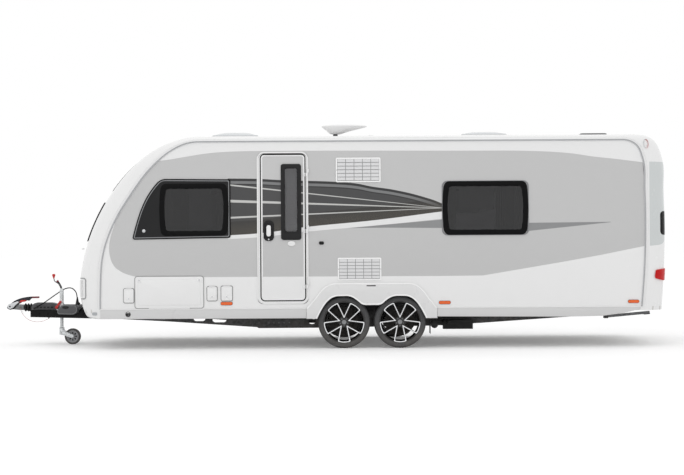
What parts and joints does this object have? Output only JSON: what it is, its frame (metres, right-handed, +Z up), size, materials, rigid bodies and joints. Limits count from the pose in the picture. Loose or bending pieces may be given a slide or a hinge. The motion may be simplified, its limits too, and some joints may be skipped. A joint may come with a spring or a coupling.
{
  "type": "twin-axle travel caravan",
  "caption": "Towed twin-axle touring caravan with entrance door, windows, hatches, steadies, drawbar and jockey wheel.",
  "frame": {"origin": "on the ground under the middle of the overall length and width", "axes": "+X along the length, towards the rear; the hitch is at -X; +Y to the side away from the entrance door; +Z up"},
  "size_m": [8.143, 2.454, 2.724],
  "materials": {
    "body_white": "smooth white moulded panel",
    "side_skin": "light grey painted sheet",
    "roof_white": "smooth white sheet",
    "floor_ply": "dark sealed plywood",
    "rail_grey": "satin grey extrusion",
    "skirt_white": "white painted extrusion",
    "spat_white": "white moulding",
    "black_plastic": "fine grained black plastic",
    "seal_black": "black rubber seal",
    "door_white": "white moulded leaf",
    "tinted_pane": "dark tinted acrylic",
    "curtain_grey": "woven grey cloth",
    "vent_white": "white moulded grille",
    "rooflight_acrylic": "white frame with clear dome",
    "lamp_amber": "amber lens",
    "lamp_red": "red lens",
    "galvanised": "hot dip galvanised steel",
    "frame_black": "black coated steel",
    "axle_black": "black coated steel",
    "tyre_rubber": "black tyre rubber",
    "alloy_rim": "black painted alloy with bright cut edges",
    "coupling_silver": "silver painted casting",
    "lever_dark": "dark grip with red end",
    "bellows_rubber": "folded black rubber",
    "cable_black": "black cable sheath",
    "cable_red": "red sheathed wire"
  },
  "bodies": {
    "caravan": {"floor_panel": "floor_ply", "side_wall_left": "side_skin", "side_wall_right": "side_skin", "front_panel": "body_white", "roof_panel": "roof_white", "rear_panel": "body_white", "gas_locker_box": "floor_ply", "wheel_housings": "black_plastic", "corner_rails": "rail_grey", "skirts": "skirt_white", "wheel_spats": "spat_white", "door_frame": "door_white", "window_frames": "black_plastic", "window_panes": "tinted_pane", "end_windows": "tinted_pane", "curtains": "curtain_grey", "inlet_boxes": "vent_white", "fridge_vents": "vent_white", "rooflights": "rooflight_acrylic", "tv_aerial": "roof_white", "marker_lamps": "lamp_amber", "rear_lamps": "lamp_red", "grab_handles": "black_plastic", "a_frame": "frame_black", "chassis_frame": "galvanised", "axles": "axle_black", "mover_units": "frame_black", "coupling_head": "coupling_silver", "drawbar_bellows": "bellows_rubber", "hitch_cover": "black_plastic", "hitch_levers": "lever_dark", "jockey_clamp": "galvanised", "electric_cable": "cable_black", "parked_plug": "black_plastic", "breakaway_cable": "cable_red"},
    "door": {"entrance_door": "door_white", "door_window": "tinted_pane", "door_handle": "black_plastic"},
    "locker_hatch": {"side_locker_hatch": "door_white"},
    "toilet_door": {"toilet_hatch": "door_white"},
    "water_flap": {"water_inlet_flap": "vent_white"},
    "mains_flap": {"mains_inlet_flap": "vent_white"},
    "gas_flap": {"gas_outlet_flap": "vent_white"},
    "gas_lid": {"gas_locker_lid": "body_white"},
    "front_left_steady": {"steady_front_left": "galvanised"},
    "front_right_steady": {"steady_front_right": "galvanised"},
    "rear_left_steady": {"steady_rear_left": "galvanised"},
    "rear_right_steady": {"steady_rear_right": "galvanised"},
    "jockey_stem": {"jockey_leg": "galvanised"},
    "jockey_castor": {"jockey_fork": "galvanised"},
    "jockey_roller": {"jockey_wheel": "tyre_rubber"},
    "wheel_left_front": {"tyre_left_front": "tyre_rubber", "rim_left_front": "alloy_rim"},
    "wheel_left_rear": {"tyre_left_rear": "tyre_rubber", "rim_left_rear": "alloy_rim"},
    "wheel_right_front": {"tyre_right_front": "tyre_rubber", "rim_right_front": "alloy_rim"},
    "wheel_right_rear": {"tyre_right_rear": "tyre_rubber", "rim_right_rear": "alloy_rim"}
  },
  "joints": [
    {"name": "wheel_spin_left_front", "type": "hinge", "parent": "caravan", "child": "wheel_left_front", "pos_m": [0.18, -1.0475, 0.31], "axis": [0, 1, 0], "continuous": true},
    {"name": "wheel_spin_left_rear", "type": "hinge", "parent": "caravan", "child": "wheel_left_rear", "pos_m": [0.846, -1.0475, 0.31], "axis": [0, 1, 0], "continuous": true},
    {"name": "wheel_spin_right_front", "type": "hinge", "parent": "caravan", "child": "wheel_right_front", "pos_m": [0.18, 1.0475, 0.31], "axis": [0, 1, 0], "continuous": true},
    {"name": "wheel_spin_right_rear", "type": "hinge", "parent": "caravan", "child": "wheel_right_rear", "pos_m": [0.846, 1.0475, 0.31], "axis": [0, 1, 0], "continuous": true},
    {"name": "door_hinge", "type": "hinge", "parent": "caravan", "child": "door", "pos_m": [-0.248, -1.216, 1.434], "axis": [0, 0, 1], "range_deg": [0, 165]},
    {"name": "locker_hatch_hinge", "type": "hinge", "parent": "caravan", "child": "locker_hatch", "pos_m": [-1.893, -1.203, 0.492], "axis": [1, 0, 0], "range_deg": [0, 100]},
    {"name": "toilet_door_hinge", "type": "hinge", "parent": "caravan", "child": "toilet_door", "pos_m": [2.885, 1.203, 0.559], "axis": [-1, 0, 0], "range_deg": [0, 100]},
    {"name": "water_flap_hinge", "type": "hinge", "parent": "caravan", "child": "water_flap", "pos_m": [-2.374, -1.207, 0.725], "axis": [-1, 0, 0], "range_deg": [0, 110]},
    {"name": "mains_flap_hinge", "type": "hinge", "parent": "caravan", "child": "mains_flap", "pos_m": [-1.3845, -1.207, 0.744], "axis": [-1, 0, 0], "range_deg": [0, 110]},
    {"name": "gas_flap_hinge", "type": "hinge", "parent": "caravan", "child": "gas_flap", "pos_m": [-1.2105, -1.207, 0.749], "axis": [-1, 0, 0], "range_deg": [0, 110]},
    {"name": "gas_lid_hinge", "type": "hinge", "parent": "caravan", "child": "gas_lid", "pos_m": [-3.036, 0, 1.197], "axis": [0, 1, 0], "range_deg": [0, 75]},
    {"name": "steady_front_left_hinge", "type": "hinge", "parent": "caravan", "child": "front_left_steady", "pos_m": [-1.93, -0.8, 0.345], "axis": [0, -1, 0], "range_deg": [0, 43]},
    {"name": "steady_front_right_hinge", "type": "hinge", "parent": "caravan", "child": "front_right_steady", "pos_m": [-1.93, 0.8, 0.345], "axis": [0, -1, 0], "range_deg": [0, 43]},
    {"name": "steady_rear_left_hinge", "type": "hinge", "parent": "caravan", "child": "rear_left_steady", "pos_m": [3.35, -0.8, 0.345], "axis": [0, 1, 0], "range_deg": [0, 42]},
    {"name": "steady_rear_right_hinge", "type": "hinge", "parent": "caravan", "child": "rear_right_steady", "pos_m": [3.35, 0.8, 0.345], "axis": [0, 1, 0], "range_deg": [0, 42]},
    {"name": "jockey_slide", "type": "slide", "parent": "caravan", "child": "jockey_stem", "axis": [0, 0, 1], "range_m": [0, 0.1]},
    {"name": "jockey_swivel", "type": "hinge", "parent": "jockey_stem", "child": "jockey_castor", "pos_m": [-3.36, -0.11, 0.214], "axis": [0, 0, 1], "continuous": true},
    {"name": "jockey_roll", "type": "hinge", "parent": "jockey_castor", "child": "jockey_roller", "pos_m": [-3.223, -0.11, 0.1], "axis": [0, 1, 0], "continuous": true}
  ]
}
